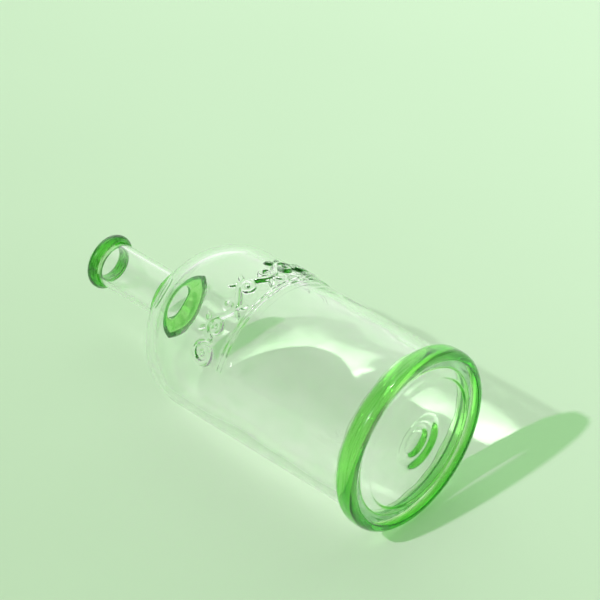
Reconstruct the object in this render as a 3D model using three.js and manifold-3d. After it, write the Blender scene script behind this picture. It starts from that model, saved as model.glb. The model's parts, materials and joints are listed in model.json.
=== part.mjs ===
// A one-litre glass carboy lying on its side: a clear blown body and neck tube, joined by a green
// glass collar, with a green foot ring round the base and a green lip ring on the mouth.
// Millimetres. Every piece is turned about its own +Z axis, with the standing face of the bottle at
// z = 0 and the mouth at the top. The whole bottle is then laid down, so that it rests on its foot
// ring and on its shoulder, with the mouth towards -X.

import * as THREE from "three";
import { mergeVertices } from "three/addons/utils/BufferGeometryUtils.js";
import Module from "manifold-3d";

// Driving dimensions
const LENGTH = 242; // standing face to the top of the lip
const BODY_RADIUS = 50;
const WALL = 5;
const NECK_RADIUS = 13.7;
const BORE_RADIUS = 11.2;
const FOOT_RADIUS = 55.2;
const FOOT_HEIGHT = 12.5;
const SHOULDER_START = 145.5; // where the straight wall turns into the shoulder
const SHOULDER_RISE = 39.2;
const CROWN_WALL = 4.7; // the wall is a little thinner towards the neck
const GAP = 0.3; // left between two fused pieces, so that each is a solid of its own
const SEGMENTS = 48;

// Foot ring: above its bulge the green glass thins out up the wall
const FEATHER_HEIGHT = 15;
const FEATHER_THICKNESS = 1;

// Base. The underside is slightly recessed inside the rim it stands on, and hollowed in the middle.
const RIM_INNER_RADIUS = 40;
const RECESS_OUTER_RADIUS = 38.4;
const RECESS = 0.8;
const EDGE_CHAMFER = 1;
const HOLLOW_OUTER_RADIUS = 18.5;
const HOLLOW_INNER_RADIUS = 11; // the hollow's top is flat inside this
const HOLLOW_RISE = 1.6;
const DIMPLE_RADIUS = 7.8; // round dimple in the top of the hollow
const DIMPLE_DEPTH = 1.5;
const FLOOR_HEIGHT = 5.5;
const FLOOR_CORNER = 1.2;

// Collar, a ring on the joint between shoulder and neck. Its section is an ellipse that leans inwards
// towards the mouth, so the ring is a short funnel.
const COLLAR_CENTRE_RADIUS = 16.4;
const COLLAR_HEIGHT = 184;
const COLLAR_HALF_LENGTH = 6.6;
const COLLAR_HALF_THICKNESS = 3.6;
const COLLAR_LEAN = THREE.MathUtils.degToRad(-42);
const NECK_FOOT_HEIGHT = 186.8; // the neck tube starts here, inside the collar's section
const SHOULDER_HOLE_RADIUS = 17;

// Lip
const LIP_RADIUS = 16.9;
const LIP_BEAD_HEIGHT = 7;
const LIP_BORE_RADIUS = 9.9;
const LIP_SKIRT = 8.6; // from the top of the lip to the end of the green lining in the bore
const LIP_SEAT_DEPTH = 5.2; // the neck tube stops this far below the top

// Moulded relief on the side of the body that lies uppermost: two ridges, and a scrolling stem that
// starts in a large scroll, with a curl inside each of its bends and a pair of leaves outside it
const STEM_START = THREE.MathUtils.degToRad(-49.5);
const STEM_END = THREE.MathUtils.degToRad(66);
const RIDGE_START = THREE.MathUtils.degToRad(-64);
const RIDGE_END = THREE.MathUtils.degToRad(68);
const RIDGE_HEIGHTS = [104.4, 107.2];
const RIDGE_SECTION_RADIUS = 0.9;
const STEM_HEIGHT = 118.4;
const STEM_SWING = 4.3;
const STEM_BENDS = 7;
const STEM_SECTION_RADIUS = 1.3;
const SCROLL_RADIUS = 8.5;
const SCROLL_TURNS = 1.3;
const CURL_RADIUS = 4.5;
const CURL_TURNS = 1.2;
const CURL_SECTION_RADIUS = 1.1;
const LEAF_HALF_LENGTH = 3.5;
const LEAF_HALF_WIDTH = 1.7;
const LEAF_HALF_THICKNESS = 1.5;
const LEAF_SPLAY = THREE.MathUtils.degToRad(48); // between a leaf and the run of the stem

const CLEAR_GLASS = { color: 0xdff0d8, roughness: 0.05, metalness: 0 };
const GREEN_GLASS = { color: 0x45b838, roughness: 0.05, metalness: 0 };

const wasm = await Module();
wasm.setup();

// A closed geometry as a manifold-3d solid, and back.
function toSolid(geometry) {
  const bare = geometry.clone();
  bare.deleteAttribute("normal");
  bare.deleteAttribute("uv");
  const merged = mergeVertices(bare, 1e-4);
  return new wasm.Manifold(
    new wasm.Mesh({
      numProp: 3,
      vertProperties: new Float32Array(merged.attributes.position.array),
      triVerts: new Uint32Array(merged.index.array),
    }),
  );
}

function toGeometry(solid) {
  const mesh = solid.getMesh();
  const geometry = new THREE.BufferGeometry();
  geometry.setAttribute("position", new THREE.BufferAttribute(mesh.vertProperties, 3));
  geometry.setIndex(new THREE.BufferAttribute(mesh.triVerts, 1));
  geometry.computeVertexNormals();
  return geometry;
}

// Points of an elliptical arc in a profile, as (radius, height); angles in degrees from +radius.
function arc(centreRadius, centreHeight, radial, axial, from, to, steps) {
  return Array.from({ length: steps + 1 }, (_, i) => {
    const angle = THREE.MathUtils.degToRad(from + ((to - from) * i) / steps);
    return [centreRadius + radial * Math.cos(angle), centreHeight + axial * Math.sin(angle)];
  });
}

// A profile turned about +Z, with a flat facet, not an edge, towards +X and -X.
function turned(profile) {
  const points = profile.map(([radius, height]) => new THREE.Vector2(radius, height));
  return new THREE.LatheGeometry(points, SEGMENTS, Math.PI / SEGMENTS).rotateX(Math.PI / 2);
}

function degreesWhere(cosine) {
  return THREE.MathUtils.radToDeg(Math.acos(cosine));
}

function collarRing(grow = 0) {
  const centre = new THREE.Vector2(COLLAR_CENTRE_RADIUS, COLLAR_HEIGHT);
  const section = arc(0, 0, COLLAR_HALF_LENGTH + grow, COLLAR_HALF_THICKNESS + grow, 0, 360, 20);
  return turned(
    section.map(([along, across]) => {
      const point = new THREE.Vector2(along, across).rotateAround(new THREE.Vector2(), COLLAR_LEAN);
      return point.add(centre).toArray();
    }),
  );
}

// The clear body: flat base with a recess under it, straight wall and shoulder, open at the neck.
function bodyShell() {
  const innerRadius = BODY_RADIUS - WALL;
  const innerRise = SHOULDER_RISE - CROWN_WALL;
  const cornerRadius = innerRadius - FLOOR_CORNER;
  const outerEnd = degreesWhere(SHOULDER_HOLE_RADIUS / BODY_RADIUS);
  const innerEnd = degreesWhere(SHOULDER_HOLE_RADIUS / innerRadius);
  const hollowTop = RECESS + HOLLOW_RISE;
  const hollowSide = Array.from({ length: 5 }, (_, i) => {
    const radius = THREE.MathUtils.lerp(HOLLOW_INNER_RADIUS, HOLLOW_OUTER_RADIUS, i / 4);
    return [radius, RECESS + (HOLLOW_RISE * (1 + Math.cos((Math.PI * i) / 4))) / 2];
  });
  return turned([
    ...arc(0, hollowTop, DIMPLE_RADIUS, DIMPLE_DEPTH, 90, 0, 3),
    ...hollowSide,
    [RECESS_OUTER_RADIUS, RECESS],
    [RIM_INNER_RADIUS, 0],
    [BODY_RADIUS - EDGE_CHAMFER, 0],
    [BODY_RADIUS, EDGE_CHAMFER],
    ...arc(0, SHOULDER_START, BODY_RADIUS, SHOULDER_RISE, 0, outerEnd, 10),
    ...arc(0, SHOULDER_START, innerRadius, innerRise, innerEnd, 0, 8),
    ...arc(cornerRadius, FLOOR_HEIGHT + FLOOR_CORNER, FLOOR_CORNER, FLOOR_CORNER, 0, -90, 4),
    [0, FLOOR_HEIGHT],
  ]);
}

// A point on the outside of the wall, at an angle round the axis from the uppermost line (+X).
function onWall(angle, height, lift = 0) {
  const radius = BODY_RADIUS + lift;
  return new THREE.Vector3(radius * Math.cos(angle), radius * Math.sin(angle), height);
}

// A round bar along a path on the wall, whose parameter runs from 0 to 1.
function bar(pointAt, sectionRadius, steps) {
  const run = Array.from({ length: steps + 1 }, (_, i) => pointAt(i / steps));
  const section = new THREE.Shape().absarc(0, 0, sectionRadius, 0, 2 * Math.PI);
  return new THREE.ExtrudeGeometry(section, {
    steps,
    curveSegments: 4,
    extrudePath: new THREE.CatmullRomCurve3(run),
  });
}

function stemAngle(along) {
  return THREE.MathUtils.lerp(STEM_START, STEM_END, along);
}

function ridge(height) {
  const angle = (along) => THREE.MathUtils.lerp(RIDGE_START, RIDGE_END, along);
  return bar((along) => onWall(angle(along), height), RIDGE_SECTION_RADIUS, 32);
}

function stem() {
  const height = (along) => STEM_HEIGHT + STEM_SWING * Math.sin(along * STEM_BENDS * Math.PI);
  return bar((along) => onWall(stemAngle(along), height(along)), STEM_SECTION_RADIUS, 8 * STEM_BENDS);
}

// A bend of the stem: its crest, and the side it swings to, 1 towards the neck and -1 towards the base.
function bend(index) {
  const side = index % 2 ? -1 : 1;
  return { side, angle: stemAngle((index + 0.5) / STEM_BENDS), crest: STEM_HEIGHT + side * STEM_SWING };
}

// The large scroll leaves the start of the stem upwards, and winds inwards beside it.
function scroll() {
  const path = (along) => {
    const turn = 2 * Math.PI * SCROLL_TURNS * along;
    const radius = SCROLL_RADIUS * (1 - 0.8 * along);
    const across = (radius * Math.cos(turn) - SCROLL_RADIUS) / BODY_RADIUS;
    return onWall(STEM_START + across, STEM_HEIGHT + radius * Math.sin(turn));
  };
  return bar(path, STEM_SECTION_RADIUS, 28);
}

// The curl leaves the crest of its bend and winds inwards.
function curl({ side, angle, crest }) {
  const path = (along) => {
    const turn = 2 * Math.PI * CURL_TURNS * along;
    const radius = CURL_RADIUS * (1 - 0.75 * along);
    const across = (radius * Math.sin(turn)) / BODY_RADIUS;
    return onWall(angle + across, crest - side * (CURL_RADIUS - radius * Math.cos(turn)));
  };
  return bar(path, CURL_SECTION_RADIUS, 11);
}

// One leaf, lying on the wall with its stalk at the crest of a bend and its tip away from the stem.
function leaf({ side, angle, crest }, splay) {
  const reach = LEAF_HALF_LENGTH + STEM_SECTION_RADIUS / 2;
  const across = (reach * Math.cos(splay)) / BODY_RADIUS;
  const middle = onWall(angle + across, crest + side * reach * Math.sin(splay), -0.2);
  const geometry = new THREE.SphereGeometry(1, 8, 6);
  geometry.scale(LEAF_HALF_THICKNESS, LEAF_HALF_LENGTH, LEAF_HALF_WIDTH);
  geometry.rotateX(side * splay);
  geometry.rotateZ(angle + across);
  return geometry.translate(middle.x, middle.y, middle.z);
}

function relief() {
  const bends = Array.from({ length: STEM_BENDS }, (_, i) => bend(i));
  const pieces = [
    ...RIDGE_HEIGHTS.map(ridge),
    stem(),
    scroll(),
    ...bends.map(curl),
    ...bends.flatMap((at) => [leaf(at, LEAF_SPLAY), leaf(at, Math.PI - LEAF_SPLAY)]),
  ];
  return pieces.map(toSolid).reduce((joined, piece) => joined.add(piece));
}

function body() {
  const seat = toSolid(collarRing(GAP));
  return toGeometry(toSolid(bodyShell()).subtract(seat).add(relief()));
}

// The clear neck tube, from the collar to the underside of the lip.
function neckTube() {
  const tube = turned([
    [BORE_RADIUS, NECK_FOOT_HEIGHT],
    [NECK_RADIUS, NECK_FOOT_HEIGHT],
    [NECK_RADIUS, LENGTH - LIP_SEAT_DEPTH],
    [BORE_RADIUS, LENGTH - LIP_SEAT_DEPTH],
    [BORE_RADIUS, NECK_FOOT_HEIGHT],
  ]);
  const seat = toSolid(collarRing(GAP));
  return toGeometry(toSolid(tube).subtract(seat));
}

// The green lip: a rounded bead on the end of the neck tube, with a skirt that lines the bore.
function lipRing() {
  const beadCentre = LENGTH - LIP_BEAD_HEIGHT / 2;
  const beadRadial = (LIP_RADIUS - LIP_BORE_RADIUS) / 2;
  const seat = LENGTH - LIP_SEAT_DEPTH + GAP;
  const skirtEnd = LENGTH - LIP_SKIRT;
  return turned([
    [LIP_BORE_RADIUS, skirtEnd],
    [BORE_RADIUS - GAP, skirtEnd],
    [BORE_RADIUS - GAP, seat],
    [NECK_RADIUS + GAP, seat],
    [NECK_RADIUS + GAP, LENGTH - LIP_BEAD_HEIGHT + 0.1],
    ...arc(LIP_RADIUS - beadRadial, beadCentre, beadRadial, LIP_BEAD_HEIGHT / 2, -60, 180, 12),
    [LIP_BORE_RADIUS, skirtEnd],
  ]);
}

// The green foot ring: a band round the bottom of the wall, flat where it meets the wall.
function footRing() {
  const innerRadius = BODY_RADIUS + GAP;
  const squared = (value) => Math.sign(value) * Math.abs(value) ** 0.6;
  const bulge = arc(0, 0, 1, 1, -90, 75, 12).map(([across, up]) => [
    innerRadius + (FOOT_RADIUS - innerRadius) * squared(across),
    (FOOT_HEIGHT / 2) * (1 + squared(up)),
  ]);
  const feather = [
    [innerRadius + FEATHER_THICKNESS, FOOT_HEIGHT + 0.4],
    [innerRadius + FEATHER_THICKNESS / 2, FEATHER_HEIGHT],
    [innerRadius, FEATHER_HEIGHT],
  ];
  return turned([...bulge, ...feather, bulge[0]]);
}

function piece(name, geometry, glass) {
  const mesh = new THREE.Mesh(geometry, new THREE.MeshStandardMaterial(glass));
  mesh.name = name;
  return mesh;
}

const bottle = new THREE.Group();
bottle.add(
  piece("body", body(), CLEAR_GLASS),
  piece("neck_tube", neckTube(), CLEAR_GLASS),
  piece("neck_collar", collarRing(), GREEN_GLASS),
  piece("lip_ring", lipRing(), GREEN_GLASS),
  piece("foot_ring", footRing(), GREEN_GLASS),
);

// Lying down, the line from the widest part of the foot ring to the shoulder is on the ground.
const restTilt = Math.atan((FOOT_RADIUS - BODY_RADIUS) / (SHOULDER_START - FOOT_HEIGHT / 2));
bottle.rotation.y = -(Math.PI / 2 + restTilt);
const bounds = new THREE.Box3().setFromObject(bottle, true);
const middle = bounds.getCenter(new THREE.Vector3());
bottle.position.set(-middle.x, -middle.y, -bounds.min.z);

const carboy = new THREE.Group();
carboy.add(bottle);

export default carboy;
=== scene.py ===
import json
import math

import bpy
import numpy as np
from mathutils import Matrix, Vector


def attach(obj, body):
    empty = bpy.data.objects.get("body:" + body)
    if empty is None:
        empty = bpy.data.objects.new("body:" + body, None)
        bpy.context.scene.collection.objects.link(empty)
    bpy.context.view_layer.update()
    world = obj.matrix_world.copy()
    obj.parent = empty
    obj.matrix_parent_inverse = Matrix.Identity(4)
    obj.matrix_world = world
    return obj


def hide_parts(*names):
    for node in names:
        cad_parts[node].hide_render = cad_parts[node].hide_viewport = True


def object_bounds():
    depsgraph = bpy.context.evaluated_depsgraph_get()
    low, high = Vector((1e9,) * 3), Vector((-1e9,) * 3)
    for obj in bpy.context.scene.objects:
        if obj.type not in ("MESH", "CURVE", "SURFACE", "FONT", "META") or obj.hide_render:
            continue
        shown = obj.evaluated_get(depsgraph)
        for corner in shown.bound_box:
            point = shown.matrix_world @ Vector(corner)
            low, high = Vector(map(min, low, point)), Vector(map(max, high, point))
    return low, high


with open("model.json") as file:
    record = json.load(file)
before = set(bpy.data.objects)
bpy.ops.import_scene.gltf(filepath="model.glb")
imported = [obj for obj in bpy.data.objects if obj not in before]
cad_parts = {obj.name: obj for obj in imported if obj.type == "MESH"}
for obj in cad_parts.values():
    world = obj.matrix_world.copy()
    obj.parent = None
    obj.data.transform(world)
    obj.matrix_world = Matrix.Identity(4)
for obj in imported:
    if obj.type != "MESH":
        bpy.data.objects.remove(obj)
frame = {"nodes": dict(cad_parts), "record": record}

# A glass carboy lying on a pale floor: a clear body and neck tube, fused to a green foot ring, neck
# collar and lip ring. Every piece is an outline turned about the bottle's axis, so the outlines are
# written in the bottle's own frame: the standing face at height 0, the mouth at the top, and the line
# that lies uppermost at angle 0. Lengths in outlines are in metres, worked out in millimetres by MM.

MM = 0.001
CAD_BOX = [list(corner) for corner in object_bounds()]


# ---------------------------------------------------------------- the bottle's frame

RIM = frame["record"]["mounts"][0]
DOWN = Vector(RIM["axis"]).normalized()
FOOT_CENTRE = Vector((RIM["pos_m"][0], 0, RIM["pos_m"][2]))
ACROSS = Vector((0, 1, 0))
TURN = Matrix((ACROSS.cross(-DOWN), ACROSS, -DOWN)).transposed()
BOTTLE = Matrix.Translation(FOOT_CENTRE) @ TURN.to_4x4()


def reach(node):
    """The smallest and largest radius of a CAD node, and its lowest and highest point on the axis."""
    into = BOTTLE.inverted()
    points = [into @ v.co for v in frame["nodes"][node].data.vertices]
    radii = [math.hypot(p.x, p.y) for p in points]
    heights = [p.z for p in points]
    return min(radii), max(radii), min(heights), max(heights)


_, FOOT_RADIUS, _, _ = reach("foot_ring")
BORE_RADIUS, NECK_RADIUS, _, SEAT_HEIGHT = reach("neck_tube")
LIP_BORE, LIP_RADIUS, SKIRT_END, LENGTH = reach("lip_ring")

BODY_RADIUS = 50 * MM
WALL = 5 * MM
SHOULDER_START = 145.5 * MM
SHOULDER_RISE = 39.2 * MM
CROWN_WALL = 4.7 * MM
TOUCH = 0.01 * MM  # the gap between fused pieces
LIP_BEAD_HEIGHT = 7 * MM

SEGMENTS = 200


# ---------------------------------------------------------------- outlines and turning

def arc(radius, height, radial, axial, start, end, step=5):
    """Points of an elliptical arc, from start to end degrees, measured from outwards to upwards."""
    count = max(2, round(abs(end - start) / step)) + 1
    angles = np.radians(np.linspace(start, end, count))
    return [(radius + radial * math.cos(a), height + axial * math.sin(a)) for a in angles]


def line(start, end, count):
    """Points of a straight line, cut into count steps."""
    return [tuple(p) for p in np.linspace(start, end, count + 1)]


def slope(start, end, count):
    """A smooth slope between two levels."""
    t = np.linspace(0, 1, count + 1)
    rise = (1 - np.cos(math.pi * t)) / 2
    return list(zip(start[0] + (end[0] - start[0]) * t, start[1] + (end[1] - start[1]) * rise))


TINTING = bpy.data.collections.new("green glass")  # the pieces that tint their shadow


def glass_piece(name, rows, material, node):
    """A closed mesh from rows of (angles, radii, heights, fused), each joined to the next and the last
    to the first. A row on the axis is one point. A fused row's faces, up to the next row, lie against
    another piece."""
    points, faces, fused = [], [], []
    starts = []
    for angles, radii, heights, _ in rows:
        starts.append(len(points))
        if np.max(radii) < 1e-7:
            points.append((0.0, 0.0, float(np.mean(heights))))
            continue
        points.extend(zip(radii * np.cos(angles), radii * np.sin(angles), heights))
    counts = [b - a for a, b in zip(starts, starts[1:] + [len(points)])]
    closed = counts[0] > 1 or counts[-1] > 1
    for i in range(len(rows) if closed else len(rows) - 1):
        j = (i + 1) % len(rows)
        if counts[i] == 1 and counts[j] == 1:
            continue
        strip = joined(rows[i][0], starts[i], counts[i], rows[j][0], starts[j], counts[j])
        faces.extend(strip)
        fused.extend([rows[i][3]] * len(strip))
    mesh = bpy.data.meshes.new(name)
    mesh.from_pydata(points, [], faces)
    mesh.attributes.new("fused", "FLOAT", "FACE").data.foreach_set("value", np.array(fused, np.float32))
    mesh.polygons.foreach_set("use_smooth", np.ones(len(faces), bool))
    mesh.transform(BOTTLE)
    mesh.update()
    mesh.materials.append(material)
    piece = bpy.data.objects.new(name, mesh)
    bpy.context.scene.collection.objects.link(piece)
    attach(piece, "root")
    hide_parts(node)
    if material is CLEAR:
        piece.cycles.is_caustics_caster = True
    else:
        TINTING.objects.link(piece)
    return piece


def joined(angles_a, start_a, count_a, angles_b, start_b, count_b):
    """Faces between two rows. Where one row has more points, each face takes all those beside it."""
    if count_a == 1 or count_b == 1:
        n = max(count_a, count_b)
        tip, first = (start_a, start_b) if count_a == 1 else (start_b, start_a)
        faces = [(tip, first + k, first + (k + 1) % n) for k in range(n)]
        return [f[::-1] for f in faces] if count_a == 1 else faces
    if count_a == count_b:
        n = count_a
        return [
            (start_a + k, start_a + (k + 1) % n, start_b + (k + 1) % n, start_b + k)
            for k in range(n)
        ]
    coarse, fine = (angles_a, angles_b) if count_a < count_b else (angles_b, angles_a)
    at = np.searchsorted(fine, coarse - 1e-9)
    faces = []
    for k in range(len(coarse)):
        last = at[k + 1] if k + 1 < len(coarse) else len(fine)
        beside = [int(m) % len(fine) for m in range(at[k], last + 1)]
        after = (k + 1) % len(coarse)
        if count_a < count_b:
            faces.append((start_a + k, start_a + after, *[start_b + m for m in reversed(beside)]))
        else:
            faces.append((*[start_a + m for m in beside], start_b + after, start_b + k))
    return faces


EVEN_ANGLES = np.arange(SEGMENTS) * 2 * math.pi / SEGMENTS - math.pi


def even_rows(outline, fused=False):
    """A row all round the axis for each (radius, height) of an outline."""
    return [(EVEN_ANGLES, np.full(SEGMENTS, r), np.full(SEGMENTS, h), fused) for r, h in outline]


# ---------------------------------------------------------------- glass

class Nodes:
    """A material's or a world's node tree, built one node at a time."""

    def __init__(self, tree):
        self.tree = tree
        tree.nodes.clear()

    def add(self, kind, inputs=(), **settings):
        """A node, whose inputs are given as {socket: value or another node's output}."""
        node = self.tree.nodes.new(kind)
        for name, value in settings.items():
            setattr(node, name, value)
        for socket, value in dict(inputs).items():
            if isinstance(value, bpy.types.NodeSocket):
                self.tree.links.new(value, node.inputs[socket])
            else:
                node.inputs[socket].default_value = value
        return node


def new_material(name):
    material = bpy.data.materials.new(name)
    material.use_nodes = True
    return material, Nodes(material.node_tree)


def streaks(nodes, round_scale, axial_scale):
    """Noise drawn out round the bottle's axis, as worked glass is."""
    place = nodes.add("ShaderNodeTexCoord").outputs["Object"]
    into = BOTTLE.inverted()
    local = nodes.add(
        "ShaderNodeMapping", {"Vector": place, "Location": into.translation, "Rotation": into.to_euler()}
    ).outputs[0]
    radial = nodes.add(
        "ShaderNodeVectorMath", {0: local, 1: (1, 1, 0)}, operation="MULTIPLY"
    ).outputs[0]
    length = nodes.add("ShaderNodeVectorMath", {0: radial}, operation="LENGTH").outputs["Value"]
    outwards = nodes.add("ShaderNodeVectorMath", {0: radial}, operation="NORMALIZE").outputs[0]
    height = nodes.add("ShaderNodeSeparateXYZ", {0: local}).outputs["Z"]
    across = nodes.add("ShaderNodeMath", {0: length, 1: height}, operation="ADD").outputs[0]
    stretched = nodes.add(
        "ShaderNodeCombineXYZ",
        {"Z": nodes.add("ShaderNodeMath", {0: across, 1: axial_scale}, operation="MULTIPLY").outputs[0]},
    ).outputs[0]
    around = nodes.add(
        "ShaderNodeVectorMath", {0: outwards, "Scale": round_scale}, operation="SCALE"
    ).outputs[0]
    where = nodes.add("ShaderNodeVectorMath", {0: around, 1: stretched}, operation="ADD").outputs[0]
    return nodes.add("ShaderNodeTexNoise", {"Vector": where, "Scale": 1.0, "Detail": 3.0}).outputs["Fac"]


def glass(name, colour, density, tint, round_scale, axial_scale, coat=0.0):
    """Smooth glass with streaks of a deeper tint, under a soft sheen of weight coat. A fused face lets
    everything through."""
    material, nodes = new_material(name)
    streak = streaks(nodes, round_scale, axial_scale)
    shade = nodes.add(
        "ShaderNodeMapRange",
        {"Value": streak, "From Min": 0.42, "From Max": 0.68},
        interpolation_type="SMOOTHSTEP",
    ).outputs[0]
    surface = nodes.add(
        "ShaderNodeBsdfPrincipled",
        {
            "Base Color": between(nodes, shade, (1, 1, 1, 1), (*tint, 1)),
            "Roughness": 0.0,
            "IOR": 1.5,
            "Transmission Weight": 1.0,
            "Coat Weight": coat,
            "Coat Roughness": 0.25,
        },
    ).outputs[0]
    fused = nodes.add("ShaderNodeAttribute", attribute_name="fused").outputs["Fac"]
    through = nodes.add("ShaderNodeBsdfTransparent").outputs[0]
    whole = nodes.add("ShaderNodeMixShader", {0: fused, 1: surface, 2: through}).outputs[0]
    inside = nodes.add("ShaderNodeVolumeAbsorption", {"Color": (*colour, 1), "Density": density}).outputs[0]
    nodes.add("ShaderNodeOutputMaterial", {"Surface": whole, "Volume": inside})
    return material


def between(nodes, factor, first, second):
    """The colour between two colours."""
    mix = nodes.add("ShaderNodeMix", {0: factor, 6: first, 7: second}, data_type="RGBA")
    return mix.outputs[2]


CLEAR = glass("clear_glass", (0.86, 0.98, 0.88), 4, (0.95, 0.99, 0.95), 3.0, 60)
GREEN = glass("green_glass", (0.35, 0.90, 0.02), 320, (0.36, 0.74, 0.26), 2.5, 900, 0.7)
PALE_GREEN = glass("pale_green_glass", (0.37, 0.92, 0.02), 160, (0.55, 0.86, 0.46), 2.5, 900)
DEEP_GREEN = glass("deep_green_glass", (0.28, 0.84, 0.02), 400, (0.13, 0.32, 0.08), 1.5, 1100, 0.5)


# ---------------------------------------------------------------- pieces

FEATHER_HEIGHT = 15 * MM  # the green glass thins out up the wall to here, in a wavy edge
FEATHER_THICKNESS = 1 * MM
BULGE_HEIGHT = 12.5 * MM
BULGE_FULLNESS = 0.68  # 1 is an ellipse, and less is fuller towards its corners
EDGE = 0.6 * MM


def feather_edge(angles):
    """The height of the green glass's wavy upper edge."""
    waves = np.sin(3 * angles + 0.6) + 0.6 * np.sin(8 * angles + 2.0) + 0.5 * np.sin(19 * angles)
    return FEATHER_HEIGHT + 0.45 * MM * waves


def foot_ring():
    """A band of green glass round the bottom of the wall, thinning out at its upper edge."""
    inner = BODY_RADIUS + TOUCH
    bulge = []
    for a in np.radians(np.linspace(-90, 75, 38)):
        across, up = (math.copysign(abs(v) ** BULGE_FULLNESS, v) for v in (math.cos(a), math.sin(a)))
        bulge.append((inner + (FOOT_RADIUS - inner) * across, BULGE_HEIGHT / 2 * (1 + up)))
    rows = even_rows(bulge[1:] + [(inner + FEATHER_THICKNESS, BULGE_HEIGHT + 0.4 * MM)])
    angles = EVEN_ANGLES
    top = feather_edge(angles)
    flat = np.full(SEGMENTS, inner)
    rows.append((angles, flat + 0.8 * FEATHER_THICKNESS, top - 0.7 * MM, False))
    rows.append((angles, flat + 0.4 * FEATHER_THICKNESS, top - 0.1 * MM, False))
    rows.append((angles, flat, top, True))
    rows += even_rows([(inner, EDGE)], True) + even_rows([bulge[0]])
    return glass_piece("foot_ring_glass", rows, GREEN, "foot_ring")


COLLAR_CENTRE = (16.4 * MM, 184 * MM)
COLLAR_HALF_LENGTH = 6.6 * MM
COLLAR_HALF_THICKNESS = 3.6 * MM
COLLAR_LEAN = math.radians(-42)


def collar_point(angle, grow=0.0):
    """A point of the collar's section, an ellipse that leans inwards towards the mouth. Angle 0 is its
    outer end, nearest the base, and angle 180 its inner end, nearest the mouth."""
    a = math.radians(angle)
    along = (COLLAR_HALF_LENGTH + grow) * math.cos(a)
    across = (COLLAR_HALF_THICKNESS + grow) * math.sin(a)
    c, s = math.cos(COLLAR_LEAN), math.sin(COLLAR_LEAN)
    return COLLAR_CENTRE[0] + along * c - across * s, COLLAR_CENTRE[1] + along * s + across * c


def collar_section(start, end, grow=0.0):
    """Points of the collar's section from one angle to another."""
    count = max(2, round(abs(end - start) / 5)) + 1
    return [collar_point(a, grow) for a in np.linspace(start, end, count)]


def crossing(value_at, low, high):
    """The parameter between low and high where value_at changes sign."""
    rising = value_at(high) > 0
    for _ in range(40):
        middle = (low + high) / 2
        if (value_at(middle) > 0) == rising:
            high = middle
        else:
            low = middle
    return (low + high) / 2


def shoulder(angle):
    """A point of the shoulder's outside, an ellipse, at an angle from its widest place."""
    a = math.radians(angle)
    return BODY_RADIUS * math.cos(a), SHOULDER_START + SHOULDER_RISE * math.sin(a)


def outside_shoulder(angle):
    """Above nothing where the collar's section is outside the shoulder, and below where it is inside."""
    r, h = collar_point(angle, TOUCH)
    return (r / BODY_RADIUS) ** 2 + ((h - SHOULDER_START) / SHOULDER_RISE) ** 2 - 1


MEET_SHOULDER = crossing(outside_shoulder, -30, 90)
MEET_INSIDE = -50
MEET_NECK = crossing(lambda a: collar_point(a)[0] - NECK_RADIUS, 90, 170)
MEET_BORE = crossing(lambda a: collar_point(a)[0] - BORE_RADIUS, 110, 206)
SHOULDER_JOINT = collar_point(MEET_SHOULDER, TOUCH)
SHOULDER_END = math.degrees(
    math.atan2((SHOULDER_JOINT[1] - SHOULDER_START) / SHOULDER_RISE, SHOULDER_JOINT[0] / BODY_RADIUS)
)


def neck_collar():
    """A green ring between the shoulder and the neck."""
    rows = (
        even_rows(collar_section(MEET_SHOULDER, MEET_NECK)[:-1])
        + even_rows(collar_section(MEET_NECK, MEET_BORE)[:-1], True)
        + even_rows(collar_section(MEET_BORE, 360 + MEET_INSIDE)[:-1])
        + even_rows(collar_section(360 + MEET_INSIDE, 360 + MEET_SHOULDER)[:-1], True)
    )
    return glass_piece("neck_collar_glass", rows, PALE_GREEN, "neck_collar")


def neck_tube():
    """The clear tube from the collar to the lip."""
    foot_out = collar_point(MEET_NECK, TOUCH)[1]
    foot_in = collar_point(MEET_BORE, TOUCH)[1]
    bead_low = LENGTH - LIP_BEAD_HEIGHT
    out_end = (NECK_RADIUS, bead_low)
    outline = [
        (line((NECK_RADIUS, foot_out), out_end, 40)[:-1], False),
        (line(out_end, (NECK_RADIUS, SEAT_HEIGHT), 2)[:-1], True),
        (line((NECK_RADIUS, SEAT_HEIGHT), (BORE_RADIUS, SEAT_HEIGHT), 2)[:-1], True),
        (line((BORE_RADIUS, SEAT_HEIGHT), (BORE_RADIUS, SKIRT_END), 2)[:-1], True),
        (line((BORE_RADIUS, SKIRT_END), (BORE_RADIUS, foot_in), 40)[:-1], False),
        (collar_section(MEET_BORE, MEET_NECK, TOUCH)[:-1], True),
    ]
    rows = [row for points, fused in outline for row in even_rows(points, fused)]
    return glass_piece("neck_tube_glass", rows, CLEAR, "neck_tube")


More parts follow.
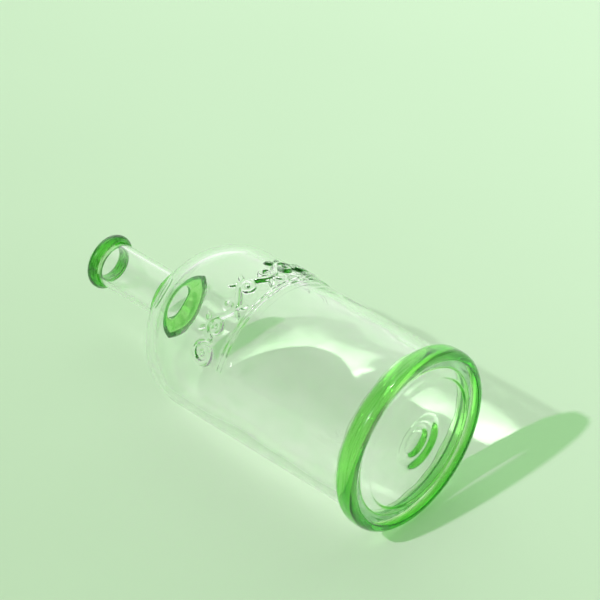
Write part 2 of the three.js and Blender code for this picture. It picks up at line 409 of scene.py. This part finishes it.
def lip_ring():
    """The green lip: a rounded bead on the tube's end, with a skirt that lines the bore."""
    radial = (LIP_RADIUS - LIP_BORE) / 2
    centre = LIP_RADIUS - radial
    axial = LIP_BEAD_HEIGHT / 2
    middle = LENGTH - axial
    skirt = BORE_RADIUS - TOUCH
    under = (NECK_RADIUS + TOUCH, LENGTH - LIP_BEAD_HEIGHT)
    half = (skirt - LIP_BORE) / 2
    outline = [
        (line((NECK_RADIUS + TOUCH, SEAT_HEIGHT + TOUCH), under, 2)[:-1], True),
        (arc(centre, middle, radial, axial, -84, 180), False),
        (line((LIP_BORE, middle), (LIP_BORE, SKIRT_END + half), 8)[1:-1], False),
        (arc(LIP_BORE + half, SKIRT_END + half, half, half, 180, 360, 20)[:-1], False),
        (line((skirt, SKIRT_END + half), (skirt, SEAT_HEIGHT + TOUCH), 3)[:-1], True),
        (line((skirt, SEAT_HEIGHT + TOUCH), (NECK_RADIUS + TOUCH, SEAT_HEIGHT + TOUCH), 2)[:-1], True),
    ]
    rows = [row for points, fused in outline for row in even_rows(points, fused)]
    return glass_piece("lip_ring_glass", rows, DEEP_GREEN, "lip_ring")


RIM_INNER_RADIUS = 40 * MM  # inside the rim it stands on, the underside is slightly recessed
RECESS_OUTER_RADIUS = 38.4 * MM
RECESS = 0.8 * MM
HOLLOW_OUTER_RADIUS = 18.5 * MM
HOLLOW_INNER_RADIUS = 11 * MM
HOLLOW_RISE = 1.6 * MM
DIMPLE_RADIUS = 7.8 * MM
DIMPLE_DEPTH = 1.5 * MM
FLOOR_HEIGHT = 5.5 * MM
FLOOR_CORNER = 1.2 * MM
UNEVENNESS = 0.12 * MM
INSIDE_END = 66  # degrees up the inside of the shoulder
INSIDE_STEPS = 43

FINE_ARC = math.radians(79)
FINE_LOW, FINE_HIGH = 102 * MM, 130 * MM
FINE_STEP = 0.33 * MM
FINE_SPLIT = 4


def fine_angles():
    """The even angles, each step split into FINE_SPLIT within FINE_ARC of the uppermost line."""
    step = 2 * math.pi / SEGMENTS
    angles = []
    for k in range(SEGMENTS):
        a = k * step - math.pi
        inside = abs(a + step / 2) < FINE_ARC
        angles += [a + step * i / FINE_SPLIT for i in range(FINE_SPLIT if inside else 1)]
    return np.array(angles)


STROKE = 2.0 * MM  # half the width of a stroke of the relief
STROKE_HEIGHT = 2.3 * MM
RIDGE = 1.0 * MM
RIDGE_HEIGHT = 0.9 * MM
RIDGES = (104.4 * MM, 107.2 * MM)
RIDGE_START, RIDGE_END = math.radians(-64), math.radians(68)
STEM_START, STEM_END = math.radians(-49.5), math.radians(66)
STEM_HEIGHT = 118.4 * MM
STEM_SWING = 4.3 * MM
STEM_BENDS = 7
SCROLL_RADIUS = 8.5 * MM
SCROLL_TURNS = 1.3
CURL_RADIUS = 4.5 * MM
CURL_TURNS = 1.2
LEAF_LENGTH = 3.5 * MM
LEAF_WIDTH = 1.7 * MM
LEAF_SPLAY = math.radians(48)


def stroke_lift(x, y, path, width, height):
    """How far a rounded stroke along path raises the points (x, y) of the unrolled wall."""
    path = np.array(path)
    a, b = path[:-1], path[1:]
    run = b - a
    length2 = np.maximum((run ** 2).sum(1), 1e-18)
    best = np.full(x.shape, np.inf)
    for (ax, ay), (rx, ry), l2 in zip(a, run, length2):
        t = np.clip(((x - ax) * rx + (y - ay) * ry) / l2, 0, 1)
        best = np.minimum(best, (x - ax - t * rx) ** 2 + (y - ay - t * ry) ** 2)
    return height * np.clip(1 - best / width ** 2, 0, None) ** 0.5


def leaf_lift(x, y, centre, direction):
    """How far a ribbed leaf raises the points (x, y) of the unrolled wall."""
    ux, uy = math.cos(direction), math.sin(direction)
    along = ((x - centre[0]) * ux + (y - centre[1]) * uy) / LEAF_LENGTH
    across = -(x - centre[0]) * uy + (y - centre[1]) * ux
    half = LEAF_WIDTH * np.clip(1 - along ** 2, 1e-6, None) ** 0.8
    body = np.clip(1 - (across / half) ** 2, 0, None) ** 0.7 * np.clip(1 - along ** 2, 0, None) ** 0.3
    rib = 0.35 * np.exp(-((across / (0.3 * MM)) ** 2))
    return STROKE_HEIGHT * body * (1 - rib)


def winding(start_radius, shrink, turns, count):
    """Points of a curl about its middle, which starts towards +y and winds inwards."""
    t = np.linspace(0, 1, count)
    radius = start_radius * (1 - shrink * t)
    return radius * np.sin(2 * math.pi * turns * t), radius * np.cos(2 * math.pi * turns * t)


def relief(angles, heights):
    """The height of the moulded relief above the wall."""
    x, y = BODY_RADIUS * angles, heights
    start, end = BODY_RADIUS * STEM_START, BODY_RADIUS * STEM_END
    ends = BODY_RADIUS * RIDGE_START, BODY_RADIUS * RIDGE_END
    strokes = [([(end_x, h) for end_x in ends], RIDGE, RIDGE_HEIGHT) for h in RIDGES]
    along = np.linspace(0, 1, 20 * STEM_BENDS + 1)
    wave = STEM_HEIGHT + STEM_SWING * np.sin(along * STEM_BENDS * math.pi)
    strokes.append((list(zip(start + (end - start) * along, wave)), STROKE, STROKE_HEIGHT))
    up, across = winding(SCROLL_RADIUS, 0.8, SCROLL_TURNS, 60)
    strokes.append((list(zip(start - SCROLL_RADIUS + across, STEM_HEIGHT + up)), STROKE, STROKE_HEIGHT))
    leaves = []
    for i in range(STEM_BENDS):
        side = -1 if i % 2 else 1
        middle = start + (end - start) * (i + 0.5) / STEM_BENDS
        crest = STEM_HEIGHT + side * STEM_SWING
        across, up = winding(CURL_RADIUS, 0.75, CURL_TURNS, 28)
        curl = list(zip(middle + across, crest - side * (CURL_RADIUS - up)))
        strokes.append((curl, 0.85 * STROKE, 0.9 * STROKE_HEIGHT))
        out = LEAF_LENGTH + STROKE / 2
        for splay in (LEAF_SPLAY, math.pi - LEAF_SPLAY):
            leaves.append(
                ((middle + out * math.cos(splay), crest + side * out * math.sin(splay)), side * splay)
            )
    lift = np.zeros(x.shape)
    for stroke in strokes:
        lift = np.maximum(lift, stroke_lift(x, y, *stroke))
    for leaf in leaves:
        lift = np.maximum(lift, leaf_lift(x, y, *leaf))
    return lift


def fine_rows():
    """The wall where the relief is, on a finer grid."""
    angles = fine_angles()
    heights = np.arange(FINE_LOW, FINE_HIGH + FINE_STEP / 2, FINE_STEP)
    a, h = np.meshgrid(angles, heights)
    lift = relief(a, h)
    level = np.ones(len(angles))
    return [(angles, BODY_RADIUS + up, height * level, False) for up, height in zip(lift, heights)]


def uneven_rows(radius, top, bottom):
    """The inside of the wall, slightly uneven as blown glass is, but true at both ends."""
    rows = []
    for t in np.linspace(0, 1, 60)[1:-1]:
        height = top + (bottom - top) * t
        turn = height / (11 * MM)
        waves = np.sin(2 * EVEN_ANGLES + turn) + 0.7 * np.sin(5 * EVEN_ANGLES - 0.6 * turn + 1)
        waves += 0.5 * np.sin(9 * EVEN_ANGLES + 1.7 * turn + 2)
        radii = radius + UNEVENNESS * waves * math.sin(math.pi * t) ** 0.5
        rows.append((EVEN_ANGLES, radii, np.full(SEGMENTS, height), False))
    return rows


def body():
    """The clear body: a flat base, recessed and hollowed under its middle, and one wall."""
    inner = BODY_RADIUS - WALL
    corner = inner - FLOOR_CORNER
    inner_rise = SHOULDER_RISE - CROWN_WALL
    top = RECESS + HOLLOW_RISE
    dimple = arc(0, top, DIMPLE_RADIUS, DIMPLE_DEPTH, 90, 0, 6)
    hollow_side = slope((HOLLOW_INNER_RADIUS, top), (HOLLOW_OUTER_RADIUS, RECESS), 24)
    rim_side = slope((RECESS_OUTER_RADIUS, RECESS), (RIM_INNER_RADIUS, 0), 12)
    rounded = arc(BODY_RADIUS - EDGE, EDGE, EDGE, EDGE, -90, 0, 22)
    wall_low = line((BODY_RADIUS, FEATHER_HEIGHT + 2 * MM), (BODY_RADIUS, FINE_LOW - FINE_STEP), 30)
    wall_high = line((BODY_RADIUS, FINE_HIGH + FINE_STEP), (BODY_RADIUS, SHOULDER_START), 8)
    outer = [shoulder(a) for a in np.linspace(0, SHOULDER_END, 50)]
    inside = arc(0, SHOULDER_START, inner, inner_rise, INSIDE_END, 0, INSIDE_END / INSIDE_STEPS)
    joint = collar_section(MEET_SHOULDER, MEET_INSIDE, TOUCH)
    # a short fillet leads from the joint with the collar to the inside of the shoulder
    tip, far = joint[-1], inside[0]
    fillet = ((tip[0] + far[0]) / 2 + 0.1 * MM, (tip[1] + far[1]) / 2 + 0.35 * MM)
    runs = [
        (dimple, False),
        (hollow_side, False),
        (rim_side, False),
        (line((RIM_INNER_RADIUS, 0), (BODY_RADIUS - EDGE, 0), 4)[1:-1], False),
        (rounded[:-1], False),
        ([(BODY_RADIUS, EDGE)], True),
        "feather",
        (wall_low, False),
        "fine",
        (wall_high[:-1], False),
        (outer[:-1], False),
        (joint[:-1], True),
        ([tip, fillet], False),
        (inside, False),
        "inside",
        (arc(corner, FLOOR_HEIGHT + FLOOR_CORNER, FLOOR_CORNER, FLOOR_CORNER, 0, -90, 5)[:-1], False),
        ([(corner * t, FLOOR_HEIGHT) for t in (1, 0.7, 0.4, 0.15, 0)], False),
    ]
    rows = []
    for run in runs:
        if run == "fine":
            rows += fine_rows()
        elif run == "inside":
            rows += uneven_rows(inner, SHOULDER_START, FLOOR_HEIGHT + FLOOR_CORNER)
        elif run == "feather":
            rows.append((EVEN_ANGLES, np.full(SEGMENTS, BODY_RADIUS), feather_edge(EVEN_ANGLES), False))
        else:
            rows += even_rows(*run)
    return glass_piece("body_glass", rows, CLEAR, "body")


foot_ring()
neck_collar()
neck_tube()
lip_ring()
body()


# ---------------------------------------------------------------- floor, light and camera

FLOOR_SIZE = 4.0
FLOOR_DROP = 0.4 * MM
TO_SUN = (-0.190, -0.668, 0.720)
SUN_ANGLE = 1.6
TO_SOFTBOX = (-0.55, 0.62, 0.55)
BOUNCE_AT = (0.05, -0.02, 1.2)
BOUNCE_REACH = 0.18
LENS_IN_WIDTHS = 2985.1 / 600  # focal length as a share of the picture's width
CAMERA_AT = (0.86196, -0.89596, 1.17703)
CAMERA_LOOK = (-0.51068, 0.55181, -0.65933)


def floor():
    """Pale green paper, its colour painted lighter towards the far side as a painted falloff of light."""
    material, nodes = new_material("pale_paper")
    place = nodes.add("ShaderNodeTexCoord").outputs["Object"]
    across = nodes.add("ShaderNodeSeparateXYZ", {0: place}).outputs["Y"]
    cloud = nodes.add("ShaderNodeTexNoise", {"Vector": place, "Scale": 5.0, "Detail": 2.0}).outputs["Fac"]
    # painted light: the colour grows lighter along y, towards the far side, standing in for stronger light
    # there; the noise only varies the paper's tone
    uneven = nodes.add(
        "ShaderNodeMath", {0: cloud, 1: 0.10, 2: across}, operation="MULTIPLY_ADD"
    ).outputs[0]
    share = nodes.add(
        "ShaderNodeMapRange", {"Value": uneven, "From Min": -0.15, "From Max": 0.5}
    ).outputs[0]
    colour = between(nodes, share, (0.523, 0.726, 0.476, 1), (0.695, 0.925, 0.656, 1))
    grain = nodes.add("ShaderNodeTexNoise", {"Vector": place, "Scale": 900.0, "Detail": 2.0}).outputs["Fac"]
    bump = nodes.add(
        "ShaderNodeBump", {"Height": grain, "Strength": 0.15, "Distance": 0.1 * MM}
    ).outputs[0]
    surface = nodes.add(
        "ShaderNodeBsdfPrincipled",
        {"Base Color": colour, "Normal": bump, "Roughness": 0.9, "Specular IOR Level": 0.1},
    ).outputs[0]
    nodes.add("ShaderNodeOutputMaterial", {"Surface": surface})
    mesh = bpy.data.meshes.new("floor")
    corners = [(x * FLOOR_SIZE, y * FLOOR_SIZE, 0) for x, y in ((-1, -1), (1, -1), (1, 1), (-1, 1))]
    mesh.from_pydata(corners, [], [(0, 1, 2, 3)])
    mesh.materials.append(material)
    plane = bpy.data.objects.new("floor", mesh)
    bpy.context.scene.collection.objects.link(plane)
    plane.location.z = CAD_BOX[0][2] - FLOOR_DROP
    plane.cycles.is_caustics_receiver = True


def sun(name, strength, colour=(1, 1, 1)):
    """One share of the hard key light."""
    data = bpy.data.lights.new(name, "SUN")
    data.energy = strength
    data.color = colour
    data.angle = math.radians(SUN_ANGLE)
    lamp = bpy.data.objects.new(name, data)
    lamp.rotation_euler = Vector(TO_SUN).to_track_quat("Z", "Y").to_euler()
    bpy.context.scene.collection.objects.link(lamp)
    return lamp


def bounce():
    """A soft glow along the near side of the bottle, where the glass throws light back on the paper."""
    data = bpy.data.lights.new("bounce", "SPOT")
    data.energy = 6.5
    data.color = (1.0, 0.84, 1.0)
    data.spot_size = 2 * math.atan2(BOUNCE_REACH, BOUNCE_AT[2])
    data.spot_blend = 1
    data.shadow_soft_size = 0.05
    data.use_shadow = False
    lamp = bpy.data.objects.new("bounce", data)
    lamp.location = BOUNCE_AT
    lamp.scale.y = 0.5
    bpy.context.scene.collection.objects.link(lamp)


def studio():
    """Even soft light from all round, brighter from behind the bottle."""
    world = bpy.data.worlds.new("studio")
    bpy.context.scene.world = world
    world.use_nodes = True
    nodes = Nodes(world.node_tree)
    towards = nodes.add("ShaderNodeTexCoord").outputs["Generated"]
    facing = nodes.add(
        "ShaderNodeVectorMath", {0: towards, 1: Vector(TO_SOFTBOX).normalized()}, operation="DOT_PRODUCT"
    ).outputs["Value"]
    strength = nodes.add(
        "ShaderNodeMapRange",
        {"Value": facing, "From Min": 0.5, "From Max": 1.0, "To Min": 0.32, "To Max": 1.25},
        interpolation_type="SMOOTHSTEP",
    ).outputs[0]
    light = nodes.add(
        "ShaderNodeBackground", {"Color": (0.96, 1.0, 0.94, 1), "Strength": strength}
    ).outputs[0]
    nodes.add("ShaderNodeOutputWorld", {"Surface": light})


floor()
bounce()
# The light comes in three shares, all from one side. Clear glass bends the first. Only green glass
# shades the second, and the third, which is green, passes everything, so green glass tints its shadow.
# The last two are hidden from rays through glass and reflected by it, which would count them twice.
sun("key", 0.76).data.cycles.is_caustics_light = True
past_clear = sun("key_past_clear_glass", 1.36, (0.81, 0.19, 0.88))
past_clear.light_linking.blocker_collection = TINTING
past_all = sun("key_past_all_glass", 1.36, (0.19, 0.81, 0.12))
past_all.data.use_shadow = False
for lamp in (past_clear, past_all):
    lamp.visible_transmission = False
    lamp.visible_glossy = False
studio()

camera = bpy.data.objects.new("camera", bpy.data.cameras.new("camera"))
camera.data.sensor_width = 36
camera.data.lens = 36 * LENS_IN_WIDTHS
camera.location = CAMERA_AT
camera.rotation_euler = Vector(CAMERA_LOOK).to_track_quat("-Z", "Y").to_euler()
bpy.context.scene.collection.objects.link(camera)
bpy.context.scene.camera = camera

scene = bpy.context.scene
scene.view_settings.view_transform = "Standard"
scene.cycles.max_bounces = 64
scene.cycles.transmission_bounces = 64
scene.cycles.glossy_bounces = 64
scene.cycles.transparent_max_bounces = 64
scene.cycles.caustics_reflective = True
scene.cycles.caustics_refractive = True
scene.cycles.use_denoising = True
